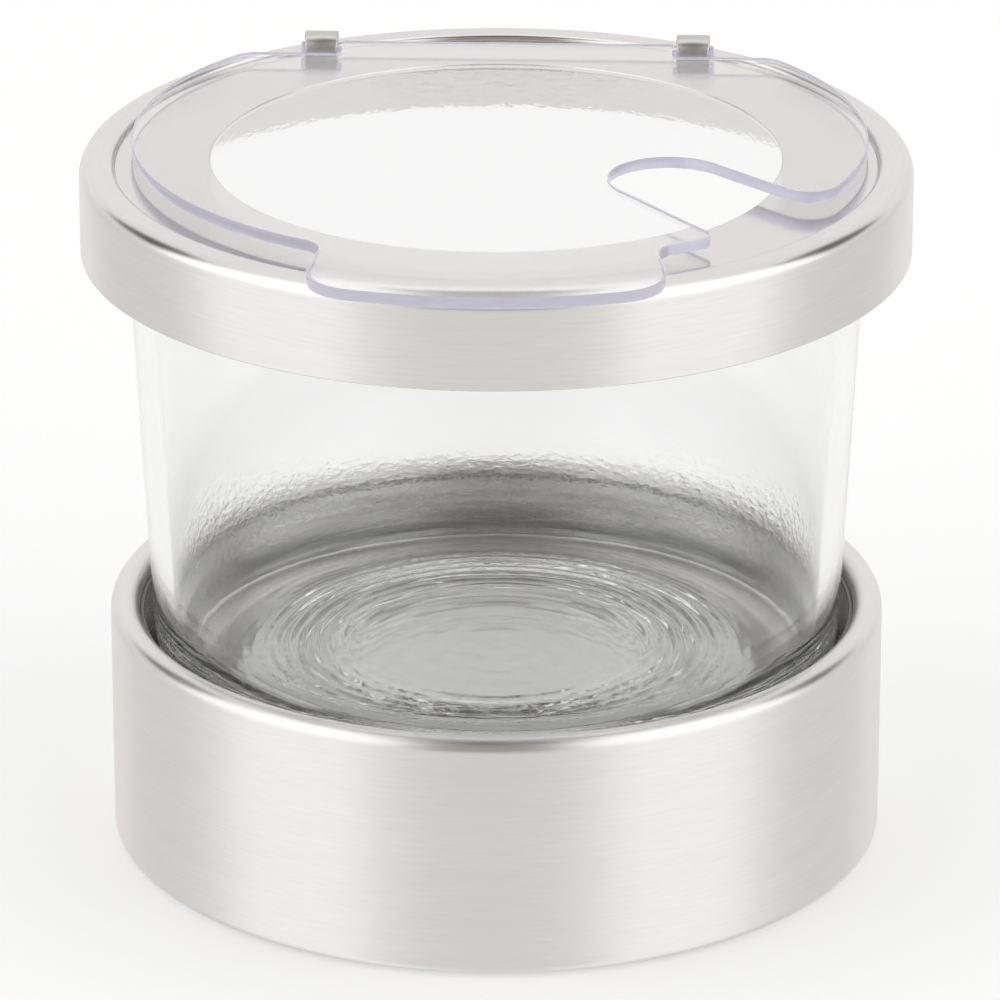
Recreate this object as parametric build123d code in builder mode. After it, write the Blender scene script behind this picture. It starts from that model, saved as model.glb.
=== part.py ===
from build123d import *
import math
import os

# Sugar bowl: a glass jar standing in a stainless base, closed by a stainless collar that
# carries a hinged clear lid. Millimetres, +Z up, front at -Y, hinge at +Y, origin at the
# centre of the underside.

# ---- base -----------------------------------------------------------------------------
BASE_RADIUS = 53.8
BASE_HEIGHT = 34.5
BASE_SHEET = 0.8
LIP_INNER_RADIUS = 49.8
LIP_ROUND = 1.95
LIP_LEG_BOTTOM = 31.5
FOOT_ROUND = 1.5
FOOT_FLANGE_INNER_RADIUS = 50.0
CUP_SHEET = 0.7
CUP_TOP = 32.4
CUP_FLOOR_TOP = 20.0
CUP_CORNER = 3.0
PLATE_RADIUS = 52.0
PLATE_DISH_RADIUS = 49.6
PLATE_SHEET = 0.8

# ---- glass jar ------------------------------------------------------------------------
REST_RING_INNER_RADIUS = 29.5
REST_RING_OUTER_RADIUS = 35.0
REST_RING_THICKNESS = 1.0
JAR_BOTTOM = CUP_FLOOR_TOP + REST_RING_THICKNESS
JAR_TOP = 95.3
JAR_RIM_RADIUS = 51.0
JAR_TAPER = 0.05
JAR_WALL = 3.0
JAR_FLOOR_TOP = 27.0
JAR_HEEL = 10.0
JAR_INNER_HEEL = 9.0
JAR_RIM_ROUND = 0.9
PUSH_UP_RADIUS = 27.0
PUSH_UP_DEPTH = 0.6

# ---- collar and gasket ----------------------------------------------------------------
COLLAR_RADIUS = 56.95
COLLAR_BOTTOM = 85.6
BEAD_TOP = 98.5
COLLAR_SHEET = 0.8
SHOULDER_ROUND = 2.0
STEP_RADIUS = 52.1
STEP_ROUND = 0.9
LEDGE_TOP = 97.4
LEDGE_HOLE_RADIUS = 39.0
GASKET_CLEARANCE = 0.05
GASKET_BOTTOM = 92.6
GASKET_WEB_INNER_RADIUS = 48.3
GASKET_CHAMFER = 0.8

# ---- hinge ----------------------------------------------------------------------------
LID_THICKNESS = 1.6
LID_SEAT_GAP = 0.02
HINGE_Y = 42.3
HINGE_Z = BEAD_TOP + LID_SEAT_GAP + LID_THICKNESS / 2
KNUCKLE_CENTRE_X = 26.3
KNUCKLE_WIDTH = 4.75
KNUCKLE_BORE_RADIUS = 1.43
KNUCKLE_STRIP = 1.2
KNUCKLE_END_Z = BEAD_TOP + 0.12
KNUCKLE_FOOT = 2.5
SLOT_CLEARANCE = 0.05

# ---- lid ------------------------------------------------------------------------------
LID_DISC_RADIUS = 50.4
LID_DISC_X = 0.3
LID_DISC_Y = 4.5
LID_BACK_Y = 38.4
LID_CORNER_ROUND = 3.0
TONGUE_HALF_WIDTH = 23.5
TONGUE_BACK_Y = HINGE_Y + 1.6
EAR_WIDTH = 2.2
EAR_REACH = KNUCKLE_CENTRE_X + KNUCKLE_WIDTH / 2 + 0.6
TAB_CENTRE_X = 0.6
TAB_WAIST_HALF_WIDTH = 22.0
TAB_WAIST_Y = -41.0
TAB_FLARE = 8.5
TAB_FRONT_RADIUS = 61.0
TAB_CORNER_ROUND = 7.2
TAB_ROOT_ROUND = 4.0
NOTCH_X = 23.9
NOTCH_Y = -13.2
NOTCH_RADIUS = 8.3
NOTCH_LEFT_ANGLE = -53.5
NOTCH_RIGHT_ANGLE = -45.0
NOTCH_LENGTH = 32.0
NOTCH_LEFT_ROUND = 2.0
NOTCH_RIGHT_ROUND = 4.0


def jar_radius(height):
    """Outside radius of the tapered glass wall at a height."""
    return JAR_RIM_RADIUS - JAR_TAPER * (JAR_TOP - height)


def outline(*points):
    """Closed radius-height outline, ready to turn about the vertical axis."""
    with BuildSketch(Plane.XZ) as section:
        with BuildLine():
            Polyline(*points, close=True)
        make_face()
    return section.sketch


def ring_edges(builder, radius, height):
    """Circular edges of a turned piece at one radius and height."""
    circles = builder.edges().filter_by(GeomType.CIRCLE)
    return circles.filter_by(
        lambda e: abs(e.radius - radius) < 0.01 and abs(e.center().Z - height) < 0.01
    )


def upright_edges(builder, x, y):
    """Vertical edges of a flat piece nearest to one corner point."""
    uprights = builder.edges().filter_by(Axis.Z)
    return uprights.sort_by_distance((x, y, HINGE_Z))[0]


# ---- outer shell of the base: straight wall, lip rolled inward, turned-in foot flange ----
shell_inner = BASE_RADIUS - BASE_SHEET
lip_under = BASE_HEIGHT - BASE_SHEET
leg_outer = LIP_INNER_RADIUS + BASE_SHEET
shell_outline = outline(
    (FOOT_FLANGE_INNER_RADIUS, 0),
    (BASE_RADIUS, 0),
    (BASE_RADIUS, BASE_HEIGHT),
    (LIP_INNER_RADIUS, BASE_HEIGHT),
    (LIP_INNER_RADIUS, LIP_LEG_BOTTOM),
    (leg_outer, LIP_LEG_BOTTOM),
    (leg_outer, lip_under),
    (shell_inner, lip_under),
    (shell_inner, BASE_SHEET),
    (FOOT_FLANGE_INNER_RADIUS, BASE_SHEET),
)
with BuildPart() as base_outer_shell:
    revolve(shell_outline, axis=Axis.Z)
    for radius in (BASE_RADIUS, LIP_INNER_RADIUS):
        fillet(ring_edges(base_outer_shell, radius, BASE_HEIGHT), LIP_ROUND)
    for radius in (shell_inner, leg_outer):
        fillet(ring_edges(base_outer_shell, radius, lip_under), LIP_ROUND - BASE_SHEET)
    fillet(ring_edges(base_outer_shell, BASE_RADIUS, 0), FOOT_ROUND)
    fillet(ring_edges(base_outer_shell, shell_inner, BASE_SHEET), FOOT_ROUND - BASE_SHEET)
base_outer_shell.part.label = "base_outer_shell"

# ---- inner cup: bonded inside the rolled lip's leg, holds the jar up off the table ----
cup_inner = LIP_INNER_RADIUS - CUP_SHEET
cup_under = CUP_FLOOR_TOP - CUP_SHEET
cup_outline = outline(
    (0, cup_under),
    (LIP_INNER_RADIUS, cup_under),
    (LIP_INNER_RADIUS, CUP_TOP),
    (cup_inner, CUP_TOP),
    (cup_inner, CUP_FLOOR_TOP),
    (0, CUP_FLOOR_TOP),
)
with BuildPart() as base_inner_cup:
    revolve(cup_outline, axis=Axis.Z)
    fillet(ring_edges(base_inner_cup, cup_inner, CUP_FLOOR_TOP), CUP_CORNER)
    fillet(ring_edges(base_inner_cup, LIP_INNER_RADIUS, cup_under), CUP_CORNER + CUP_SHEET)
base_inner_cup.part.label = "base_inner_cup"

# ---- bottom plate: rim bonded on top of the foot flange, centre dished down to the table ----
plate_outline = outline(
    (0, 0),
    (PLATE_DISH_RADIUS, 0),
    (PLATE_DISH_RADIUS, PLATE_SHEET),
    (PLATE_RADIUS, PLATE_SHEET),
    (PLATE_RADIUS, 2 * PLATE_SHEET),
    (PLATE_DISH_RADIUS - PLATE_SHEET, 2 * PLATE_SHEET),
    (PLATE_DISH_RADIUS - PLATE_SHEET, PLATE_SHEET),
    (0, PLATE_SHEET),
)
with BuildPart() as base_bottom_plate:
    revolve(plate_outline, axis=Axis.Z)
base_bottom_plate.part.label = "base_bottom_plate"

# ---- rest ring: soft ring between the cup floor and the glass ----
with BuildPart() as jar_rest_ring:
    with BuildSketch(Plane.XY.offset(CUP_FLOOR_TOP)):
        Circle(REST_RING_OUTER_RADIUS)
        Circle(REST_RING_INNER_RADIUS, mode=Mode.SUBTRACT)
    extrude(amount=REST_RING_THICKNESS)
jar_rest_ring.part.label = "jar_rest_ring"

# ---- glass jar: tapered wall, heavy floor with a shallow push-up under it ----
jar_outline = outline(
    (0, JAR_BOTTOM + PUSH_UP_DEPTH),
    (PUSH_UP_RADIUS - PUSH_UP_DEPTH, JAR_BOTTOM + PUSH_UP_DEPTH),
    (PUSH_UP_RADIUS, JAR_BOTTOM),
    (jar_radius(JAR_BOTTOM), JAR_BOTTOM),
    (JAR_RIM_RADIUS, JAR_TOP),
    (JAR_RIM_RADIUS - JAR_WALL, JAR_TOP),
    (jar_radius(JAR_FLOOR_TOP) - JAR_WALL, JAR_FLOOR_TOP),
    (0, JAR_FLOOR_TOP),
)
with BuildPart() as glass_jar:
    revolve(jar_outline, axis=Axis.Z)
    fillet(ring_edges(glass_jar, jar_radius(JAR_BOTTOM), JAR_BOTTOM), JAR_HEEL)
    fillet(ring_edges(glass_jar, jar_radius(JAR_FLOOR_TOP) - JAR_WALL, JAR_FLOOR_TOP), JAR_INNER_HEEL)
    fillet(ring_edges(glass_jar, JAR_RIM_RADIUS, JAR_TOP), JAR_RIM_ROUND)
    fillet(ring_edges(glass_jar, JAR_RIM_RADIUS - JAR_WALL, JAR_TOP), JAR_RIM_ROUND)
glass_jar.part.label = "glass_jar"

# ---- gasket: L-section ring on the rim, notched where the knuckle feet fold under ----
ledge_under = LEDGE_TOP - COLLAR_SHEET
skirt_inner = COLLAR_RADIUS - COLLAR_SHEET
leg_front = HINGE_Y - KNUCKLE_BORE_RADIUS - KNUCKLE_STRIP
foot_front = leg_front - KNUCKLE_FOOT
gasket_outline = outline(
    (JAR_RIM_RADIUS + GASKET_CLEARANCE, GASKET_BOTTOM),
    (skirt_inner - GASKET_CLEARANCE, GASKET_BOTTOM),
    (skirt_inner - GASKET_CLEARANCE, ledge_under),
    (GASKET_WEB_INNER_RADIUS, ledge_under),
    (GASKET_WEB_INNER_RADIUS, JAR_TOP),
    (JAR_RIM_RADIUS + GASKET_CLEARANCE, JAR_TOP),
)
with BuildPart() as collar_gasket:
    revolve(gasket_outline, axis=Axis.Z)
    chamfer(ring_edges(collar_gasket, skirt_inner - GASKET_CLEARANCE, ledge_under), GASKET_CHAMFER)
    with BuildSketch(Plane.XY.offset(JAR_TOP)):
        for side in (-1, 1):
            with Locations((side * KNUCKLE_CENTRE_X, foot_front + 1.5)):
                Rectangle(KNUCKLE_WIDTH + 1.0, 6.0)
    extrude(amount=ledge_under - JAR_TOP, mode=Mode.SUBTRACT)
collar_gasket.part.label = "collar_gasket"

# ---- collar shell: skirt, rounded bead and the recessed ledge the lid closes over ----
collar_outline = outline(
    (skirt_inner, COLLAR_BOTTOM),
    (COLLAR_RADIUS, COLLAR_BOTTOM),
    (COLLAR_RADIUS, BEAD_TOP),
    (STEP_RADIUS, BEAD_TOP),
    (STEP_RADIUS, LEDGE_TOP),
    (LEDGE_HOLE_RADIUS, LEDGE_TOP),
    (LEDGE_HOLE_RADIUS, ledge_under),
    (STEP_RADIUS + COLLAR_SHEET, ledge_under),
    (STEP_RADIUS + COLLAR_SHEET, BEAD_TOP - COLLAR_SHEET),
    (skirt_inner, BEAD_TOP - COLLAR_SHEET),
)
with BuildPart() as collar_shell:
    revolve(collar_outline, axis=Axis.Z)
    fillet(ring_edges(collar_shell, COLLAR_RADIUS, BEAD_TOP), SHOULDER_ROUND)
    fillet(ring_edges(collar_shell, skirt_inner, BEAD_TOP - COLLAR_SHEET), SHOULDER_ROUND - COLLAR_SHEET)
    fillet(ring_edges(collar_shell, STEP_RADIUS, BEAD_TOP), STEP_ROUND)
    with BuildSketch(Plane.XY.offset(ledge_under)):
        for side in (-1, 1):
            with Locations((side * KNUCKLE_CENTRE_X, leg_front + KNUCKLE_STRIP / 2)):
                Rectangle(KNUCKLE_WIDTH + 2 * SLOT_CLEARANCE, KNUCKLE_STRIP + 2 * SLOT_CLEARANCE)
    extrude(amount=COLLAR_SHEET, mode=Mode.SUBTRACT)
collar_shell.part.label = "collar_shell"


def knuckle_outline(side):
    """Strip that rises through the ledge, hooks back over the lid's ear and folds under."""
    outer = KNUCKLE_BORE_RADIUS + KNUCKLE_STRIP
    foot_under = ledge_under - KNUCKLE_STRIP
    with BuildSketch(Plane.YZ.offset(side * KNUCKLE_CENTRE_X)) as strip:
        with Locations((HINGE_Y, HINGE_Z)):
            Circle(outer)
        with Locations((HINGE_Y, KNUCKLE_END_Z)):
            Rectangle(2 * outer, 2 * outer, align=(Align.CENTER, Align.MAX), mode=Mode.SUBTRACT)
        with Locations((leg_front, foot_under)):
            Rectangle(outer, HINGE_Z - foot_under, align=(Align.MIN, Align.MIN))
        with Locations((foot_front, foot_under)):
            Rectangle(KNUCKLE_FOOT + outer, KNUCKLE_STRIP, align=(Align.MIN, Align.MIN))
        with Locations((HINGE_Y, HINGE_Z)):
            Circle(KNUCKLE_BORE_RADIUS, mode=Mode.SUBTRACT)
        with Locations((HINGE_Y - KNUCKLE_BORE_RADIUS, HINGE_Z)):
            Rectangle(outer, HINGE_Z - foot_under, align=(Align.MIN, Align.MAX), mode=Mode.SUBTRACT)
        with Locations((HINGE_Y + KNUCKLE_BORE_RADIUS, KNUCKLE_END_Z)):
            Rectangle(KNUCKLE_STRIP * 0.98, HINGE_Z - KNUCKLE_END_Z, align=(Align.MIN, Align.MIN))
    return strip.sketch


with BuildPart() as hinge_knuckle_left:
    extrude(knuckle_outline(-1), amount=KNUCKLE_WIDTH / 2, both=True)
hinge_knuckle_left.part.label = "hinge_knuckle_left"

with BuildPart() as hinge_knuckle_right:
    extrude(knuckle_outline(1), amount=KNUCKLE_WIDTH / 2, both=True)
hinge_knuckle_right.part.label = "hinge_knuckle_right"

# ---- lid: one flat sheet with a thumb tab, a spoon notch and two hinge ears ----
notch_left = math.radians(NOTCH_LEFT_ANGLE)
notch_right = math.radians(NOTCH_RIGHT_ANGLE)
left_start = (
    NOTCH_X + NOTCH_RADIUS * math.sin(notch_left),
    NOTCH_Y - NOTCH_RADIUS * math.cos(notch_left),
)
right_start = (
    NOTCH_X - NOTCH_RADIUS * math.sin(notch_right),
    NOTCH_Y + NOTCH_RADIUS * math.cos(notch_right),
)
left_end = (
    left_start[0] + NOTCH_LENGTH * math.cos(notch_left),
    left_start[1] + NOTCH_LENGTH * math.sin(notch_left),
)
right_end = (
    right_start[0] + NOTCH_LENGTH * math.cos(notch_right),
    right_start[1] + NOTCH_LENGTH * math.sin(notch_right),
)
back_corner_reach = math.sqrt(LID_DISC_RADIUS**2 - (LID_BACK_Y - LID_DISC_Y) ** 2)


def flank_point(side, y):
    """Point of the tab's side edge, which leans outward towards the front."""
    half = TAB_WAIST_HALF_WIDTH + (TAB_WAIST_Y - y) * math.tan(math.radians(TAB_FLARE))
    return (TAB_CENTRE_X + side * half, y)


def flank_crossing(side, centre, radius):
    """Where the tab's side edge crosses the lower half of a circle."""
    low, high = centre[1] - radius, TAB_WAIST_Y / 2
    for _ in range(60):
        middle = (low + high) / 2
        if math.dist(flank_point(side, middle), centre) > radius:
            low = middle
        else:
            high = middle
    return flank_point(side, low)


tab_left, tab_right = (flank_crossing(side, (0, 0), TAB_FRONT_RADIUS) for side in (-1, 1))
root_left, root_right = (
    flank_crossing(side, (LID_DISC_X, LID_DISC_Y), LID_DISC_RADIUS) for side in (-1, 1)
)
with BuildPart() as lid:
    with BuildSketch(Plane.XY.offset(BEAD_TOP + LID_SEAT_GAP)):
        with Locations((LID_DISC_X, LID_DISC_Y)):
            Circle(LID_DISC_RADIUS)
        with Locations((0, LID_BACK_Y)):
            Rectangle(
                3 * LID_DISC_RADIUS,
                LID_DISC_RADIUS,
                align=(Align.CENTER, Align.MIN),
                mode=Mode.SUBTRACT,
            )
        Rectangle(2 * TONGUE_HALF_WIDTH, TONGUE_BACK_Y, align=(Align.CENTER, Align.MIN))
        with Locations((0, HINGE_Y)):
            Rectangle(2 * EAR_REACH, EAR_WIDTH)
        with BuildLine():
            Polyline(tab_right, flank_point(1, -30), flank_point(-1, -30), tab_left)
            ThreePointArc(tab_left, (0, -TAB_FRONT_RADIUS), tab_right)
        make_face()
        with Locations((NOTCH_X, NOTCH_Y)):
            Circle(NOTCH_RADIUS, mode=Mode.SUBTRACT)
        with BuildLine():
            Polyline(left_start, left_end, right_end, right_start, close=True)
        make_face(mode=Mode.SUBTRACT)
    extrude(amount=LID_THICKNESS)
    for side in (-1, 1):
        fillet(upright_edges(lid, LID_DISC_X + side * back_corner_reach, LID_BACK_Y), LID_CORNER_ROUND)
    for root in (root_left, root_right):
        fillet(upright_edges(lid, *root), TAB_ROOT_ROUND)
    for corner in (tab_left, tab_right):
        fillet(upright_edges(lid, *corner), TAB_CORNER_ROUND)
    fillet(upright_edges(lid, 28.9, -36.0), NOTCH_LEFT_ROUND)
    fillet(upright_edges(lid, 43.0, -20.5), NOTCH_RIGHT_ROUND)
lid.part.label = "lid"

os.makedirs("parts", exist_ok=True)
pieces = [
    base_outer_shell,
    base_inner_cup,
    base_bottom_plate,
    jar_rest_ring,
    glass_jar,
    collar_gasket,
    collar_shell,
    hinge_knuckle_left,
    hinge_knuckle_right,
    lid,
]
for piece in pieces:
    export_step(piece.part, f"parts/{piece.part.label}.step")
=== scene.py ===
import math

import bmesh
import bpy
import numpy as np
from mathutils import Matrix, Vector, noise


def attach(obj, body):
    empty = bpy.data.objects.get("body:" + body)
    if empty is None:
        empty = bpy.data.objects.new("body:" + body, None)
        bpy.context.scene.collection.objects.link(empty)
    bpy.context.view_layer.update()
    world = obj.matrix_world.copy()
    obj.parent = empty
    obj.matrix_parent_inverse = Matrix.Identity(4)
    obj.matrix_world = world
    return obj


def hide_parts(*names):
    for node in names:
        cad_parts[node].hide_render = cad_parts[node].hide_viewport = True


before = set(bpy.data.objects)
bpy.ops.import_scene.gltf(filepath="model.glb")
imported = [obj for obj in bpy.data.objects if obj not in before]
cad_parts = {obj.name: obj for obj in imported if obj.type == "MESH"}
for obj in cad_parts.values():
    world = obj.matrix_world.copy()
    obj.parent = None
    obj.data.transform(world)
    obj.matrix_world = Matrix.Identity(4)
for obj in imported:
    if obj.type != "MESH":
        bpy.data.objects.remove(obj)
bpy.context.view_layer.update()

MM = 0.001

# ---- dimensions in millimetres, the CAD model's own unless a comment says otherwise -------
SEAT_GAP = 0.01  # left by the drawn pieces where they rest on each other, not in the CAD model

# base
BASE_R = 53.8
BASE_H = 34.5
SHEET = 0.8
FOOT_ROUND = 1.5
FLANGE_R = 50.0
LIP_R = 49.8
LIP_ROUND = 1.95
LEG_BOTTOM = 31.5
CUP_SHEET = 0.7
CUP_TOP = 32.4
CUP_FLOOR = 20.0
CUP_CORNER = 3.0
PLATE_R = 52.0
DISH_R = 49.6
RING_INNER = 29.5
RING_OUTER = 35.0

# glass jar
JAR_BOTTOM = 21.0
JAR_FLOOR = 27.0
JAR_TOP = 95.3
JAR_RIM_R = 51.0
JAR_TAPER = 0.05
JAR_WALL = 3.0
JAR_FOOT_R = 27.0
JAR_FOOT_RISE = 0.6
HEEL_OUTER = 10.0
HEEL_INNER = 9.0
RIM_ROUND = 1.3  # softer than the CAD model, 0.9

# gasket and collar
GASKET_R = 56.1
GASKET_BORE = 51.05
GASKET_WEB_R = 50.05  # clears the knuckle feet; in the CAD model 48.3 and notched for them
GASKET_BOTTOM = 92.6
GASKET_SEAT = 95.35  # just clear of the rim, 95.3 in the CAD model
GASKET_CHAMFER = 0.8
COLLAR_R = 56.95
SKIRT_INNER = 56.15
COLLAR_BOTTOM = 85.6
SHOULDER_ROUND = 2.0
BEAD_TOP = 98.5
STEP_R = 52.1
STEP_ROUND = 1.0  # softer than the CAD model, 0.9
LEDGE = 97.4
LEDGE_UNDER = 96.6
HOLE_R = 39.0

# hinge
HINGE_Y = 42.3
HINGE_Z = 99.32
KNUCKLE_X = 26.3
KNUCKLE_W = 4.75
KNUCKLE_BORE = 1.43
KNUCKLE_T = 1.2
KNUCKLE_FOOT = 2.9  # from the strip's middle, 0.2 shorter than the CAD model
KNUCKLE_TIP_Z = 98.66  # 98.62 in the CAD model

# lid
LID_UNDER = 98.52
LID_TOP = 100.12
DISC = (0.3, 4.5)
DISC_R = 50.4
TAB_X = 0.6
TAB_W = 22.0
TAB_WAIST_Y = -41.0
TAB_FLARE = math.tan(math.radians(8.5))
TAB_R = 61.0
BACK_Y = 38.4
TONGUE_W = 23.5
TONGUE_Y = 43.9
EAR_X = 29.275
EAR_FRONT = 41.2
EAR_BACK = 43.4
NOTCH = (23.9, -13.2)
NOTCH_R = 8.3
NOTCH_LEFT = math.radians(-53.5)  # directions of the two sides of the notch
NOTCH_RIGHT = math.radians(-45.0)
TAB_CORNER = 7.2
TAB_ROOT = 4.0
NOTCH_TIP_LEFT = 2.0
NOTCH_TIP_RIGHT = 4.0
BACK_CORNER = 3.0
EAR_CORNER = 0.4
TONGUE_CORNER = 0.6
BEVEL = 0.14


# ---- shape helpers ----------------------------------------------------------------------
def corner_arc(a, b, c, radius, steps):
    """Points of the rounding at corner b between a and c."""
    a, b, c = (np.array(p, float) for p in (a, b, c))
    u = (a - b) / np.linalg.norm(a - b)
    v = (c - b) / np.linalg.norm(c - b)
    half = math.acos(max(-1.0, min(1.0, float(u @ v)))) / 2
    reach = radius / math.tan(half)
    middle = (u + v) / np.linalg.norm(u + v)
    centre = b + middle * radius / math.sin(half)
    start = b + u * reach - centre
    end = b + v * reach - centre
    a0 = math.atan2(start[1], start[0])
    turn = (math.atan2(end[1], end[0]) - a0 + math.pi) % (2 * math.pi) - math.pi
    angles = [a0 + turn * i / steps for i in range(steps + 1)]
    return [tuple(centre + radius * np.array([math.cos(t), math.sin(t)])) for t in angles]


def rounded(corners, steps):
    """Closed outline from (x, y, rounding) corners."""
    out = []
    n = len(corners)
    for i, (x, y, r) in enumerate(corners):
        if r <= 0:
            out.append((x, y))
            continue
        out += corner_arc(corners[i - 1][:2], (x, y), corners[(i + 1) % n][:2], r, steps)
    return out


def finish_mesh(name, verts, faces, body, material, replaced, sharp):
    """Mesh object in metres from millimetre points, riding on its CAD body."""
    mesh = bpy.data.meshes.new(name)
    mesh.from_pydata([(x * MM, y * MM, z * MM) for x, y, z in verts], [], faces)
    mesh.validate()
    work = bmesh.new()
    work.from_mesh(mesh)
    bmesh.ops.recalc_face_normals(work, faces=work.faces)
    work.to_mesh(mesh)
    work.free()
    mesh.shade_smooth()
    mesh.set_sharp_from_angle(angle=math.radians(sharp))
    obj = bpy.data.objects.new(name, mesh)
    bpy.context.collection.objects.link(obj)
    for m in material if isinstance(material, (list, tuple)) else [material]:
        mesh.materials.append(m)
    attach(obj, body)
    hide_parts(*replaced)
    return obj


def lathe(name, profile, body, material, replaced, segments, wobble=None, sharp=40.0):
    """Closed radius-height profile turned about the vertical axis; radius 0 points become poles."""
    verts = []
    rings = []
    for r, z in profile:
        if r < 1e-6:
            rings.append([len(verts)] * segments)
            verts.append((0.0, 0.0, z))
            continue
        ring = []
        for k in range(segments):
            a = 2 * math.pi * k / segments
            rr, zz = (r, z) if wobble is None else wobble(r, z, a)
            ring.append(len(verts))
            verts.append((rr * math.cos(a), rr * math.sin(a), zz))
        rings.append(ring)
    faces = []
    n = len(rings)
    for i in range(n):
        p, q = rings[i], rings[(i + 1) % n]
        if p[0] == p[-1] and q[0] == q[-1]:
            continue
        for k in range(segments):
            j = (k + 1) % segments
            quad = [p[k], p[j], q[j], q[k]]
            faces.append([v for t, v in enumerate(quad) if v not in quad[:t]])
    return finish_mesh(name, verts, faces, body, material, replaced, sharp)


# ---- material helpers -------------------------------------------------------------------
BRUSH_LINES = 2600.0  # noise cells per metre across the brushing


class Nodes:
    """Short way to build a material's node tree."""

    def __init__(self, name):
        self.material = bpy.data.materials.new(name)
        self.material.use_nodes = True
        self.tree = self.material.node_tree
        self.tree.nodes.clear()

    def add(self, kind, **settings):
        node = self.tree.nodes.new(kind)
        for key, value in settings.items():
            if key.startswith("in_"):
                node.inputs[key[3:].replace("_", " ")].default_value = value
            else:
                setattr(node, key, value)
        return node

    def link(self, source, target):
        self.tree.links.new(source, target)

    def math(self, operation, *values):
        node = self.tree.nodes.new("ShaderNodeMath")
        node.operation = operation
        for i, value in enumerate(values):
            if isinstance(value, (int, float)):
                node.inputs[i].default_value = value
            else:
                self.link(value, node.inputs[i])
        return node.outputs[0]

    def cylinder_vector(self, along, around):
        """(radius, angle, height) vector: fine across the brushing, long round the axis."""
        place = self.add("ShaderNodeTexCoord")
        split = self.add("ShaderNodeSeparateXYZ")
        self.link(place.outputs["Object"], split.inputs[0])
        x, y, z = split.outputs
        squares = self.math("ADD", self.math("MULTIPLY", x, x), self.math("MULTIPLY", y, y))
        radius = self.math("SQRT", squares)
        angle = self.math("ABSOLUTE", self.math("ARCTAN2", x, self.math("MULTIPLY", y, -1)))
        join = self.add("ShaderNodeCombineXYZ")
        self.link(self.math("MULTIPLY", radius, along), join.inputs[0])
        self.link(self.math("MULTIPLY", angle, around), join.inputs[1])
        self.link(self.math("MULTIPLY", z, along), join.inputs[2])
        return join.outputs[0]

    def noise(self, vector, detail=2.0, scale=1.0):
        node = self.add("ShaderNodeTexNoise", in_Scale=scale, in_Detail=detail)
        self.link(vector, node.inputs["Vector"])
        return node.outputs["Fac"]

    def remap(self, value, low, high, from_low=0.25, from_high=0.75):
        node = self.add("ShaderNodeMapRange")
        self.link(value, node.inputs["Value"])
        node.inputs["From Min"].default_value = from_low
        node.inputs["From Max"].default_value = from_high
        node.inputs["To Min"].default_value = low
        node.inputs["To Max"].default_value = high
        return node.outputs[0]

    def output(self, shader):
        node = self.add("ShaderNodeOutputMaterial")
        self.link(shader, node.inputs["Surface"])
        return self.material


def brushed_steel(name, colour, roughness, anisotropy, contrast=1.0, depth=None):
    """Steel brushed round the axis; depth is (dark, light, low, high): painted shade and light by
    height.
    """
    n = Nodes(name)
    fine = n.noise(n.cylinder_vector(BRUSH_LINES, 9.0), 3.0)
    broad = n.noise(n.cylinder_vector(BRUSH_LINES / 7, 2.5), 2.0)
    cloud = n.noise(n.cylinder_vector(60.0, 1.2), 1.0)
    mixed = n.math("ADD", n.math("MULTIPLY", fine, 0.6), n.math("MULTIPLY", broad, 0.4))
    shade = n.remap(mixed, 1.0 - 0.05 * contrast, 1.0 + 0.04 * contrast)
    # painted shade and painted light: the colour is scaled from dark below height low to light
    # above height high
    if depth is not None:
        dark, light, low, high = depth
        place = n.add("ShaderNodeTexCoord")
        split = n.add("ShaderNodeSeparateXYZ")
        n.link(place.outputs["Object"], split.inputs[0])
        height = n.remap(split.outputs["Z"], dark, light, low * MM, high * MM)
        shade = n.math("MULTIPLY", shade, height)
    tone = n.add("ShaderNodeMix", data_type="RGBA", blend_type="MULTIPLY")
    tone.inputs["Factor"].default_value = 1.0
    tone.inputs["A"].default_value = (*colour, 1)
    grey = n.add("ShaderNodeCombineColor")
    for socket in grey.inputs[:3]:
        n.link(shade, socket)
    n.link(grey.outputs[0], tone.inputs["B"])
    bsdf = n.add("ShaderNodeBsdfPrincipled", in_Metallic=1.0, in_Anisotropic=anisotropy)
    bsdf.inputs["Anisotropic Rotation"].default_value = 0.25
    n.link(tone.outputs["Result"], bsdf.inputs["Base Color"])
    streaks = n.remap(mixed, -0.03, 0.03)
    patches = n.remap(cloud, roughness - 0.015, roughness + 0.015)
    n.link(n.math("ADD", streaks, patches), bsdf.inputs["Roughness"])
    tangent = n.add("ShaderNodeTangent", direction_type="RADIAL", axis="Z")
    n.link(tangent.outputs[0], bsdf.inputs["Tangent"])
    bump = n.add("ShaderNodeBump", in_Strength=0.06 * contrast, in_Distance=0.00003)
    n.link(mixed, bump.inputs["Height"])
    n.link(bump.outputs[0], bsdf.inputs["Normal"])
    return n.output(bsdf.outputs[0])


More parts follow.
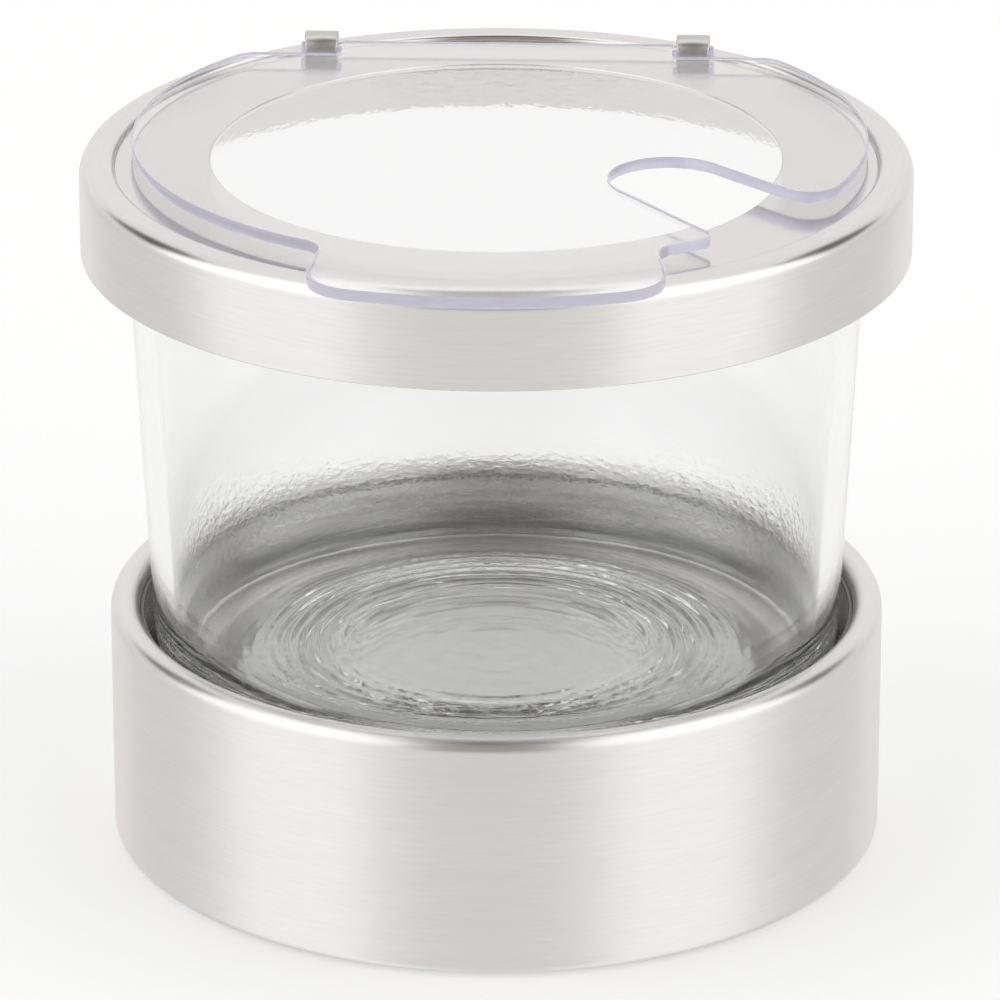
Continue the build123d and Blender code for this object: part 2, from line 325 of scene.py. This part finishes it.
def clear(name, ior, tint, ripple=False):
    """Clear solid that lets lamp light through; ripple is the unevenness of pressed glass."""
    n = Nodes(name)
    body = n.add("ShaderNodeBsdfPrincipled", in_IOR=ior, in_Roughness=0.0)
    body.inputs["Transmission Weight"].default_value = 1.0
    body.inputs["Base Color"].default_value = (*tint, 1)
    if ripple:
        place = n.add("ShaderNodeTexCoord")
        split = n.add("ShaderNodeSeparateXYZ")
        n.link(place.outputs["Object"], split.inputs[0])
        height = split.outputs["Z"]
        above_floor = n.remap(height, 0.00001, 0.0006, 0.0285, 0.0315)
        heel = n.math("MULTIPLY", above_floor, n.remap(height, 1.0, 0.02, 0.036, 0.045))
        heel = n.math("MULTIPLY", heel, n.remap(split.outputs["Y"], 0.03, 1.0, -0.004, 0.018))
        rim = n.remap(height, 0.0, 0.00016, 0.0862, 0.0885)
        bump = n.add("ShaderNodeBump", in_Strength=0.5)
        n.link(n.math("ADD", heel, rim), bump.inputs["Distance"])
        flatten = n.add("ShaderNodeMapping")
        flatten.inputs["Scale"].default_value = (1.0, 1.0, 1.8)
        n.link(place.outputs["Object"], flatten.inputs[0])
        n.link(n.noise(flatten.outputs[0], 3.0, 800.0), bump.inputs["Height"])
        n.link(bump.outputs[0], body.inputs["Normal"])
    through = n.add("ShaderNodeBsdfTransparent")
    through.inputs[0].default_value = (*(0.5 + 0.5 * t for t in tint), 1)
    path = n.add("ShaderNodeLightPath")
    mix = n.add("ShaderNodeMixShader")
    n.link(path.outputs["Is Shadow Ray"], mix.inputs[0])
    n.link(body.outputs[0], mix.inputs[1])
    n.link(through.outputs[0], mix.inputs[2])
    return n.output(mix.outputs[0])


def edge_acrylic(name):
    """Cut edge of the clear sheet: a pale lavender tint, with a painted glow (emission) standing in
    for the light that the sheet gathers inside.
    """
    n = Nodes(name)
    place = n.add("ShaderNodeTexCoord")
    stretch = n.add("ShaderNodeMapping")
    stretch.inputs["Scale"].default_value = (300.0, 300.0, 1800.0)
    n.link(place.outputs["Object"], stretch.inputs[0])
    grain = n.noise(stretch.outputs[0], 3.0)
    colour = n.add("ShaderNodeValToRGB")
    colour.color_ramp.elements[0].color = (0.70, 0.69, 0.80, 1)
    colour.color_ramp.elements[0].position = 0.3
    colour.color_ramp.elements[1].color = (0.76, 0.75, 0.86, 1)
    colour.color_ramp.elements[1].position = 0.7
    n.link(grain, colour.inputs[0])
    bsdf = n.add("ShaderNodeBsdfPrincipled", in_Roughness=0.3, in_IOR=1.49)
    # painted glow: the edge emits a faint lavender-white light of its own
    bsdf.inputs["Emission Strength"].default_value = 0.13
    bsdf.inputs["Emission Color"].default_value = (0.84, 0.84, 1.0, 1)
    bsdf.inputs["Transmission Weight"].default_value = 0.45
    bsdf.inputs["Coat Weight"].default_value = 0.4
    n.link(colour.outputs[0], bsdf.inputs["Base Color"])
    return n.output(bsdf.outputs[0])


def silicone(name):
    """Milky translucent silicone with a faint mottled surface."""
    n = Nodes(name)
    place = n.add("ShaderNodeTexCoord")
    cloud = n.noise(place.outputs["Object"], 3.0, 350.0)
    bsdf = n.add("ShaderNodeBsdfPrincipled", in_IOR=1.41)
    bsdf.inputs["Base Color"].default_value = (0.80, 0.81, 0.80, 1)
    bsdf.inputs["Transmission Weight"].default_value = 0.35
    n.link(n.remap(cloud, 0.35, 0.5), bsdf.inputs["Roughness"])
    return n.output(bsdf.outputs[0])


STEEL = brushed_steel("steel_base", (0.79, 0.772, 0.762), 0.32, 0.6)
STEEL_COLLAR = brushed_steel("steel_collar", (0.775, 0.757, 0.747), 0.25, 0.65)
STEEL_LEDGE = brushed_steel("steel_ledge", (0.75, 0.728, 0.718), 0.13, 0.3, 0.1)
# painted shade and light: the cup wall is darkened below 23 mm and brightened above 29.5 mm
STEEL_CUP = brushed_steel(
    "steel_cup", (0.80, 0.785, 0.765), 0.26, 0.4, 0.4, (0.22, 1.25, 23.0, 29.5)
)
# darker steel colour on the cup floor: painted shade at the bottom of the cup
STEEL_CUP_FLOOR_PAINTED_SHADE = brushed_steel("steel_cup_floor_painted_shade", (0.57, 0.56, 0.545), 0.16, 0.4, 0.4)
# near-black steel: painted shade on the cup's top edge under the rolled lip
STEEL_SHADE_UNDER_LIP = brushed_steel("steel_painted_shade_under_lip", (0.16, 0.155, 0.15), 0.45, 0.2)
STEEL_STRIP = brushed_steel("steel_strip", (0.60, 0.578, 0.565), 0.29, 0.3)
GLASS = clear("jar_glass", 1.52, (0.953, 0.958, 0.954), ripple=True)
ACRYLIC = clear("lid_acrylic", 1.49, (0.975, 0.973, 0.978))
ACRYLIC_EDGE_GLOW = edge_acrylic("lid_edge_painted_glow")
SILICONE = silicone("silicone_milky")

# ---- base -------------------------------------------------------------------------------
shell_in = BASE_R - SHEET
lathe(
    "outer_shell",
    rounded(
        [
            (FLANGE_R, 0, 0.2),
            (BASE_R, 0, FOOT_ROUND),
            (BASE_R, BASE_H, LIP_ROUND),
            (LIP_R, BASE_H, LIP_ROUND),
            (LIP_R, LEG_BOTTOM, 0.15),
            (LIP_R + SHEET, LEG_BOTTOM, 0.15),
            (LIP_R + SHEET, BASE_H - SHEET, LIP_ROUND - SHEET),
            (shell_in, BASE_H - SHEET, LIP_ROUND - SHEET),
            (shell_in, SHEET, FOOT_ROUND - SHEET),
            (FLANGE_R, SHEET, 0.2),
        ],
        16,
    ),
    "base",
    STEEL,
    ["base_outer_shell"],
    320,
)
FLOOR_LOOK_TOP = CUP_FLOOR + 0.4  # smooth pressed floor below, in darker steel as painted shade; brushed wall above
SHADE_UNDER_LIP_BOTTOM = 32.12  # painted shade on the seam under the rolled lip above: near-black steel
cup = lathe(
    "inner_cup",
    rounded(
        [
            (0, CUP_FLOOR - CUP_SHEET, 0),
            (LIP_R, CUP_FLOOR - CUP_SHEET, CUP_CORNER + CUP_SHEET),
            (LIP_R, CUP_TOP, 0.25),
            (LIP_R - CUP_SHEET, CUP_TOP, 0.25),
            (LIP_R - CUP_SHEET, CUP_FLOOR, CUP_CORNER),
            (0, CUP_FLOOR, 0),
        ],
        10,
    ),
    "base",
    [STEEL_CUP, STEEL_CUP_FLOOR_PAINTED_SHADE, STEEL_SHADE_UNDER_LIP],
    ["base_inner_cup"],
    256,
)
# index 1 is the floor's darker steel and index 2 the near-black steel under the lip, both painted
# shade
for face in cup.data.polygons:
    if face.center.z < FLOOR_LOOK_TOP * MM:
        face.material_index = 1
    elif face.center.z > SHADE_UNDER_LIP_BOTTOM * MM:
        face.material_index = 2
lathe(
    "bottom_plate",
    rounded(
        [
            (0, 0, 0),
            (DISH_R, 0, 0.5),
            (DISH_R, SHEET, 0.1),
            (PLATE_R, SHEET, 0.1),
            (PLATE_R, 2 * SHEET, 0.2),
            (DISH_R - SHEET, 2 * SHEET, 0.2),
            (DISH_R - SHEET, SHEET, 0.1),
            (0, SHEET, 0),
        ],
        6,
    ),
    "base",
    STEEL,
    ["base_bottom_plate"],
    192,
)
lathe(
    "rest_ring",
    rounded(
        [
            (RING_INNER, CUP_FLOOR, 0.2),
            (RING_OUTER, CUP_FLOOR, 0.2),
            (RING_OUTER, JAR_BOTTOM - SEAT_GAP, 0.25),
            (RING_INNER, JAR_BOTTOM - SEAT_GAP, 0.25),
        ],
        5,
    ),
    "base",
    SILICONE,
    ["jar_rest_ring"],
    192,
)


# ---- glass jar --------------------------------------------------------------------------
RINGS_R = 37.0  # the floor's moulding rings lie inside this radius
HEEL_WAVES_TOP = 40.0  # the heel's unevenness fades out below this height


def jar_radius(z):
    return JAR_RIM_R - JAR_TAPER * (JAR_TOP - z)


def resample(path, step):
    """Adds points so that no span of the open path is longer than step."""
    out = [path[0]]
    for a, b in zip(path, path[1:]):
        count = max(1, int(math.ceil(math.dist(a, b) / step)))
        for i in range(1, count + 1):
            out.append((a[0] + (b[0] - a[0]) * i / count, a[1] + (b[1] - a[1]) * i / count))
    return out


def rings_wave(r):
    """Moulding rings in the jar floor: gentle in the middle, close and deep further out."""
    inner = 0.022 * math.sin(2 * math.pi * r / 4.4)
    outer = 0.21 * math.sin(2 * math.pi * r / 1.9) * math.exp(-(((r - 27.5) / 5.5) ** 2))
    return inner + outer


def jar_wobble(r, z, a):
    """Small unevenness of pressed glass, strongest in the floor and round the heel."""
    inside = z > JAR_BOTTOM + 2.5 and r < jar_radius(z) - 1.0
    p = Vector((r * math.cos(a), r * math.sin(a), z))
    soft = noise.noise(p * 0.09) * 0.10 + noise.noise(p * 0.5) * 0.02
    if z < HEEL_WAVES_TOP:
        fade = min(1.0, (HEEL_WAVES_TOP - z) / 8)
        depth = 0.004 if r < 30 else 0.035
        fine = noise.noise(Vector((p.x * 0.9, p.y * 0.9, p.z * 1.6))) * depth * fade
        if r < RINGS_R:
            wave = rings_wave(r + 0.5 * noise.noise(p * 0.06)) + fine
            return r, z + (wave if inside else 0.5 * abs(wave))
        return r + soft * 0.4 + fine, z + (fine if inside else abs(fine))
    edge = min(1.0, max(0.0, (JAR_TOP - 4 - z) / 10))
    return r + soft * 0.12 * edge, z


rim_outer = (JAR_RIM_R, JAR_TOP)
rim_inner = (JAR_RIM_R - JAR_WALL, JAR_TOP)
foot = (jar_radius(JAR_BOTTOM), JAR_BOTTOM)
inside_foot = (jar_radius(JAR_FLOOR) - JAR_WALL, JAR_FLOOR)
outer_half = corner_arc((0, JAR_BOTTOM), foot, rim_outer, HEEL_OUTER, 40)
inner_half = corner_arc(rim_inner, inside_foot, (0, JAR_FLOOR), HEEL_INNER, 40)
rim_out = corner_arc(outer_half[-1], rim_outer, rim_inner, RIM_ROUND, 8)
rim_in = corner_arc(rim_outer, rim_inner, inner_half[0], RIM_ROUND, 8)
underside = [
    (0, JAR_BOTTOM + JAR_FOOT_RISE),
    (JAR_FOOT_R - 1.0, JAR_BOTTOM + JAR_FOOT_RISE),
    (JAR_FOOT_R, JAR_BOTTOM),
    outer_half[0],
]
jar_path = (
    resample(underside, 0.34)
    + outer_half[1:]
    + resample([outer_half[-1], rim_out[0]], 6.0)[1:-1]
    + rim_out
    + rim_in
    + resample([rim_in[-1], inner_half[0]], 6.0)[1:-1]
    + inner_half
    + resample([inner_half[-1], (0, JAR_FLOOR)], 0.32)[1:]
)
lathe("jar", jar_path, "jar", GLASS, ["glass_jar"], 300, jar_wobble, sharp=60.0)

# ---- gasket and collar ------------------------------------------------------------------
lathe(
    "gasket",
    rounded(
        [
            (GASKET_BORE, GASKET_BOTTOM, 0.4),
            (GASKET_R, GASKET_BOTTOM, 0.5),
            (GASKET_R, LEDGE_UNDER - GASKET_CHAMFER, 0.3),
            (GASKET_R - GASKET_CHAMFER, LEDGE_UNDER - SEAT_GAP, 0.3),
            (GASKET_WEB_R, LEDGE_UNDER - SEAT_GAP, 0.1),
            (GASKET_WEB_R, GASKET_SEAT, 0.1),
            (GASKET_BORE, GASKET_SEAT, 0.1),
        ],
        5,
    ),
    "gasket",
    SILICONE,
    ["collar_gasket"],
    192,
)
LEDGE_LOOK_R = STEP_R + 0.3  # smooth ledge and step inside, brushed bead outside
INSIDE_LOOK_TOP = 97.75  # the skirt's inside is as smooth as the ledge below this height
collar = lathe(
    "collar",
    rounded(
        [
            (SKIRT_INNER, COLLAR_BOTTOM, 0.15),
            (COLLAR_R, COLLAR_BOTTOM, 0.25),
            (COLLAR_R, BEAD_TOP, SHOULDER_ROUND),
            (STEP_R, BEAD_TOP, STEP_ROUND),
            (STEP_R, LEDGE, 0.18),
            (HOLE_R, LEDGE, 0.3),
            (HOLE_R, LEDGE_UNDER, 0.2),
            (STEP_R + SHEET, LEDGE_UNDER, 0.3),
            (STEP_R + SHEET, BEAD_TOP - SHEET, 0.3),
            (SKIRT_INNER, BEAD_TOP - SHEET, SHOULDER_ROUND - SHEET),
        ],
        12,
    ),
    "collar",
    [STEEL_COLLAR, STEEL_LEDGE],
    ["collar_shell"],
    384,
)
for face in collar.data.polygons:
    reach = math.hypot(face.center.x, face.center.y) / MM
    inside = reach < SKIRT_INNER + 0.1 and face.center.z < INSIDE_LOOK_TOP * MM
    if reach < LEDGE_LOOK_R or inside:
        face.material_index = 1


# ---- hinge knuckles ---------------------------------------------------------------------
def knuckle(name, side, replaced):
    """Strip swept up through the ledge, drawn without slots, over the ear and part way down."""
    mid = KNUCKLE_BORE + KNUCKLE_T / 2
    front_y = HINGE_Y - mid
    foot_z = LEDGE_UNDER - KNUCKLE_T / 2
    path = [(front_y - KNUCKLE_FOOT, foot_z)]
    path += corner_arc((HINGE_Y - 8, foot_z), (front_y, foot_z), (front_y, 99), 0.75, 6)
    path += [(front_y, z) for z in np.linspace(97.2, HINGE_Z, 7)]
    for i in range(1, 25):
        a = math.pi - math.pi * i / 24
        path.append((HINGE_Y + mid * math.cos(a), HINGE_Z + mid * math.sin(a)))
    path.append((HINGE_Y + mid, KNUCKLE_TIP_Z))
    half = KNUCKLE_T / 2 - SEAT_GAP
    verts, rings = [], []
    for i, p in enumerate(path):
        a = np.array(path[max(0, i - 1)])
        b = np.array(path[min(len(path) - 1, i + 1)])
        t = (b - a) / np.linalg.norm(b - a)
        n = np.array([-t[1], t[0]])
        width = KNUCKLE_W / 2
        if p[1] > 97.5:
            width -= 0.22 * math.exp(-(((p[1] - HINGE_Z - 0.2) / 1.1) ** 2))
        corners = [(-width, -half), (width, -half), (width, half), (-width, half)]
        section = rounded([(*corner, 0.16) for corner in corners], 3)
        ring = []
        for s, o in section:
            q = np.array(p) + n * o
            ring.append(len(verts))
            verts.append((side * KNUCKLE_X + s, q[0], q[1]))
        rings.append(ring)
    faces = []
    for p, q in zip(rings, rings[1:]):
        for k in range(len(p)):
            j = (k + 1) % len(p)
            faces.append([p[k], p[j], q[j], q[k]])
    faces += [rings[0][::-1], rings[-1]]
    return finish_mesh(name, verts, faces, "collar", STEEL_STRIP, replaced, 50.0)


knuckle("knuckle_left", -1, ["hinge_knuckle_left"])
knuckle("knuckle_right", 1, ["hinge_knuckle_right"])


# ---- lid --------------------------------------------------------------------------------
OUTLINE_STEP = 0.25


def dense(points):
    """Adds points so that the outline has one every OUTLINE_STEP."""
    out = []
    n = len(points)
    for i in range(n):
        a, b = np.array(points[i]), np.array(points[(i + 1) % n])
        count = max(1, int(np.linalg.norm(b - a) / OUTLINE_STEP))
        out += [a + (b - a) * k / count for k in range(count)]
    return np.array(out)


def normals(poly):
    """Left normals of an outline, which point inward on an anticlockwise one."""
    t = np.roll(poly, -1, 0) - np.roll(poly, 1, 0)
    t /= np.linalg.norm(t, axis=1)[:, None]
    return np.stack([-t[:, 1], t[:, 0]], 1)


def one_sided(poly, i, step):
    """Left normals of the points that run from corner i in one direction."""
    n = len(poly)
    index = [(i + step * k) % n for k in range(1, 130)]
    pts = poly[index]
    after = poly[[(j + step) % n for j in index]]
    t = (after - pts) * step
    t /= np.linalg.norm(t, axis=1)[:, None]
    return index, pts, np.stack([-t[:, 1], t[:, 0]], 1)


def round_corner(poly, near, radius):
    """Replaces the corner nearest a point by an arc tangent to both sides."""
    steps = 10
    i = int(np.argmin(np.linalg.norm(poly - np.array(near), axis=1)))
    back, pb, nb = one_sided(poly, i, -1)
    ahead, pa, na = one_sided(poly, i, 1)
    turn = np.cross(pb[3] - poly[i], pa[3] - poly[i])
    sign = -1.0 if turn > 0 else 1.0
    cb = pb + sign * radius * nb
    ca = pa + sign * radius * na
    gap = np.linalg.norm(cb[:, None] - ca[None], axis=2)
    j, k = np.unravel_index(np.argmin(gap), gap.shape)
    centre = (cb[j] + ca[k]) / 2
    a0 = math.atan2(*(pb[j] - centre)[::-1])
    swing = (math.atan2(*(pa[k] - centre)[::-1]) - a0 + math.pi) % (2 * math.pi) - math.pi
    angles = [a0 + swing * s / steps for s in range(steps + 1)]
    arc = [centre + radius * np.array([math.cos(t), math.sin(t)]) for t in angles]
    n = len(poly)
    start, stop = back[j], ahead[k]
    keep = []
    m = (stop + 1) % n
    while m != start:
        keep.append(poly[m])
        m = (m + 1) % n
    return np.array(arc + keep)


def arc_points(centre, radius, a0, a1):
    """Points of an arc between two angles, one every OUTLINE_STEP."""
    count = max(2, int(abs(a1 - a0) * radius / OUTLINE_STEP))
    angles = [a0 + (a1 - a0) * i / count for i in range(count + 1)]
    return [(centre[0] + radius * math.cos(a), centre[1] + radius * math.sin(a)) for a in angles]


def disc_hit(p, direction):
    """Where a ray from inside the disc leaves it."""
    d = np.array([math.cos(direction), math.sin(direction)])
    o = np.array(p) - np.array(DISC)
    b = float(o @ d)
    t = -b + math.sqrt(b * b - float(o @ o) + DISC_R**2)
    return np.array(p) + d * t


def disc_angle(p):
    return math.atan2(p[1] - DISC[1], p[0] - DISC[0])


def flank_crossing(side, centre, radius):
    """Where the tab's leaning side edge crosses the lower half of a circle."""
    low, high = centre[1] - radius, -20.0
    for _ in range(60):
        y = (low + high) / 2
        x = TAB_X + side * (TAB_W + (TAB_WAIST_Y - y) * TAB_FLARE)
        if math.dist((x, y), centre) > radius:
            low = y
        else:
            high = y
    return (x, y)


back_angle = math.asin((BACK_Y - DISC[1]) / DISC_R)
back_reach = math.sqrt(DISC_R**2 - (BACK_Y - DISC[1]) ** 2)
root_l, root_r = (flank_crossing(side, DISC, DISC_R) for side in (-1, 1))
tab_l, tab_r = (flank_crossing(side, (0.0, 0.0), TAB_R) for side in (-1, 1))
notch_l = (NOTCH[0] + NOTCH_R * math.sin(NOTCH_LEFT), NOTCH[1] - NOTCH_R * math.cos(NOTCH_LEFT))
notch_r = (NOTCH[0] - NOTCH_R * math.sin(NOTCH_RIGHT), NOTCH[1] + NOTCH_R * math.cos(NOTCH_RIGHT))
mouth_l = disc_hit(notch_l, NOTCH_LEFT)
mouth_r = disc_hit(notch_r, NOTCH_RIGHT)
outline = (
    arc_points(DISC, DISC_R, math.pi - back_angle, disc_angle(root_l) + 2 * math.pi)
    + arc_points((0.0, 0.0), TAB_R, math.atan2(tab_l[1], tab_l[0]), math.atan2(tab_r[1], tab_r[0]))
    + arc_points(DISC, DISC_R, disc_angle(root_r), disc_angle(mouth_l))
    + arc_points(NOTCH, NOTCH_R, NOTCH_LEFT + 3 * math.pi / 2, NOTCH_RIGHT + math.pi / 2)
    + arc_points(DISC, DISC_R, disc_angle(mouth_r), back_angle)
    + [
        (TONGUE_W, BACK_Y),
        (TONGUE_W, EAR_FRONT),
        (EAR_X, EAR_FRONT),
        (EAR_X, EAR_BACK),
        (TONGUE_W, EAR_BACK),
        (TONGUE_W, TONGUE_Y),
        (-TONGUE_W, TONGUE_Y),
        (-TONGUE_W, EAR_BACK),
        (-EAR_X, EAR_BACK),
        (-EAR_X, EAR_FRONT),
        (-TONGUE_W, EAR_FRONT),
        (-TONGUE_W, BACK_Y),
    ]
)
shape = dense(outline)
for spot, radius in (
    (root_l, TAB_ROOT),
    (root_r, TAB_ROOT),
    (tab_l, TAB_CORNER),
    (tab_r, TAB_CORNER),
    (mouth_l, NOTCH_TIP_LEFT),
    (mouth_r, NOTCH_TIP_RIGHT),
    ((DISC[0] + back_reach, BACK_Y), BACK_CORNER),
    ((DISC[0] - back_reach, BACK_Y), BACK_CORNER),
    ((EAR_X, EAR_BACK), EAR_CORNER),
    ((-EAR_X, EAR_BACK), EAR_CORNER),
    ((EAR_X, EAR_FRONT), EAR_CORNER),
    ((-EAR_X, EAR_FRONT), EAR_CORNER),
    ((TONGUE_W, BACK_Y), TONGUE_CORNER),
    ((-TONGUE_W, BACK_Y), TONGUE_CORNER),
):
    shape = round_corner(shape, spot, radius)


def thin_out(poly):
    """Drops points on straight stretches."""
    keep = []
    n = len(poly)
    for i in range(n):
        a, b, c = poly[i - 1], poly[i], poly[(i + 1) % n]
        u, v = b - a, c - b
        bend = abs(math.degrees(math.atan2(np.cross(u, v), u @ v)))
        if bend > 0.02 or i % 40 == 0:
            keep.append(b)
    return np.array(keep)


shape = thin_out(shape)
inward = normals(shape)
loops = [
    (shape + inward * BEVEL, LID_UNDER),
    (shape + inward * BEVEL * 0.3, LID_UNDER + BEVEL * 0.3),
    (shape, LID_UNDER + BEVEL),
    (shape, LID_TOP - BEVEL),
    (shape + inward * BEVEL * 0.3, LID_TOP - BEVEL * 0.3),
    (shape + inward * BEVEL, LID_TOP),
]
verts, faces = [], []
count = len(shape)
for loop, z in loops:
    verts += [(x, y, z) for x, y in loop]
for level in range(len(loops) - 1):
    for k in range(count):
        j = (k + 1) % count
        a = level * count
        faces.append([a + k, a + j, a + count + j, a + count + k])
faces.append(list(range(count))[::-1])
faces.append([(len(loops) - 1) * count + k for k in range(count)])
lid = finish_mesh("lid_sheet", verts, faces, "lid", [ACRYLIC, ACRYLIC_EDGE_GLOW], ["lid"], 30.0)
for face in lid.data.polygons:
    if len(face.vertices) > 4:
        face.use_smooth = False
    else:
        face.material_index = 1

# ---- setting: floor, daylight dome, camera ------------------------------------------------
floor_nodes = Nodes("floor_pale")
floor_bsdf = floor_nodes.add("ShaderNodeBsdfPrincipled", in_Roughness=0.8)
floor_bsdf.inputs["Emission Strength"].default_value = 0.40
floor_bsdf.inputs["Emission Color"].default_value = (1.0, 1.0, 1.0, 1)
floor_place = floor_nodes.add("ShaderNodeTexCoord")
floor_tone = floor_nodes.noise(floor_place.outputs["Object"], 1.0, 3.0)
floor_value = floor_nodes.remap(floor_tone, 0.60, 0.62)
floor_grey = floor_nodes.add("ShaderNodeCombineColor")
for socket in floor_grey.inputs[:3]:
    floor_nodes.link(floor_value, socket)
floor_nodes.link(floor_grey.outputs[0], floor_bsdf.inputs["Base Color"])
FLOOR = floor_nodes.output(floor_bsdf.outputs[0])
bpy.ops.mesh.primitive_plane_add(size=30, location=(0, 0, -0.0002))
floor = bpy.context.object
floor.name = "floor"
floor.data.materials.append(FLOOR)
floor.visible_glossy = False


# regions of the dome: bearing from the front, half width, soft edge, low, high, height edge, level
REGIONS = (
    (60, 14, 20, -120, 5, 6, 1.15),
    (0, 12, 25, -120, 0, 6, 0.86),
    (118, 12, 22, -120, 10, 6, 0.80),
    (66, 30, 12, 5, 75, 5, 1.45),
    (90, 200, 10, 66, 120, 8, 1.25),
    (180, 60, 20, 8, 60, 8, 0.94),
    (119, 10, 9, 18, 44, 5, 0.03),
    (0, 15, 12, 2, 58, 6, 0.36),
    (0, 42, 14, 58, 120, 6, 0.12),
)
DOME_LEVEL = 0.9


def studio_world():
    """White studio: soft boxes left, right and overhead; the dimmer parts are a little warmer."""
    world = bpy.data.worlds.new("studio")
    bpy.context.scene.world = world
    world.use_nodes = True
    tree = world.node_tree
    tree.nodes.clear()

    def add(kind):
        return tree.nodes.new(kind)

    def op(operation, *values):
        node = add("ShaderNodeMath")
        node.operation = operation
        for i, value in enumerate(values):
            if isinstance(value, (int, float)):
                node.inputs[i].default_value = value
            else:
                tree.links.new(value, node.inputs[i])
        return node.outputs[0]

    def smooth(value, low, high):
        node = add("ShaderNodeMapRange")
        node.interpolation_type = "SMOOTHSTEP"
        tree.links.new(value, node.inputs["Value"])
        node.inputs["From Min"].default_value = low
        node.inputs["From Max"].default_value = high
        return node.outputs[0]

    place = add("ShaderNodeTexCoord")
    split = add("ShaderNodeSeparateXYZ")
    tree.links.new(place.outputs["Generated"], split.inputs[0])
    x, y, z = split.outputs
    height = op("MULTIPLY", op("ARCSINE", z), 180 / math.pi)
    bearing = op("MULTIPLY", op("ABSOLUTE", op("ARCTAN2", x, op("MULTIPLY", y, -1))), 180 / math.pi)

    def box(centre, half, soft, low, high, edge):
        """Soft rectangle on both sides of the front, between two heights in degrees."""
        off = op("ABSOLUTE", op("SUBTRACT", bearing, centre))
        side = op("SUBTRACT", 1.0, smooth(off, half, half + soft))
        above = smooth(height, low - edge, low + edge)
        below = op("SUBTRACT", 1.0, smooth(height, high - edge, high + edge))
        return op("MULTIPLY", side, op("MULTIPLY", above, below))

    def lay(value, region, level):
        """Moves value towards level where the region's mask is 1."""
        return op("ADD", value, op("MULTIPLY", region, op("SUBTRACT", level, value)))

    total = DOME_LEVEL
    for centre, half, soft, low, high, edge, level in REGIONS:
        total = lay(total, box(centre, half, soft, low, high, edge), level)
    dimness = op("MINIMUM", total, 1.0)
    colour = add("ShaderNodeCombineColor")
    for socket, warmth in zip(colour.inputs[:3], (0.0, 0.10, 0.16)):
        tree.links.new(op("MULTIPLY", total, op("POWER", dimness, warmth)), socket)
    background = add("ShaderNodeBackground")
    tree.links.new(colour.outputs[0], background.inputs["Color"])
    out = add("ShaderNodeOutputWorld")
    tree.links.new(background.outputs[0], out.inputs["Surface"])


studio_world()

CAMERA_AZIMUTH = math.radians(2.1)
CAMERA_ELEVATION = 0.38032
CAMERA_DISTANCE = 1.0356
TARGET_HEIGHT = 0.04772
SIDE_SHIFT = 0.0005
LENS = 268.2
camera = bpy.data.objects.new("camera", bpy.data.cameras.new("camera"))
bpy.context.collection.objects.link(camera)
camera.data.sensor_width = 36.0
camera.data.lens = LENS
camera.data.clip_start = 0.05
camera.data.clip_end = 60.0
back = Vector(
    (
        math.sin(CAMERA_AZIMUTH) * math.cos(CAMERA_ELEVATION),
        -math.cos(CAMERA_AZIMUTH) * math.cos(CAMERA_ELEVATION),
        math.sin(CAMERA_ELEVATION),
    )
)
right = Vector((math.cos(CAMERA_AZIMUTH), math.sin(CAMERA_AZIMUTH), 0))
camera.location = Vector((0, 0, TARGET_HEIGHT)) + right * SIDE_SHIFT + back * CAMERA_DISTANCE
camera.rotation_mode = "QUATERNION"
camera.rotation_quaternion = (-back).to_track_quat("-Z", "Y")
bpy.context.scene.camera = camera

scene = bpy.context.scene
scene.view_settings.view_transform = "Standard"
scene.cycles.max_bounces = 24
scene.cycles.transmission_bounces = 20
scene.cycles.glossy_bounces = 8
scene.cycles.transparent_max_bounces = 24
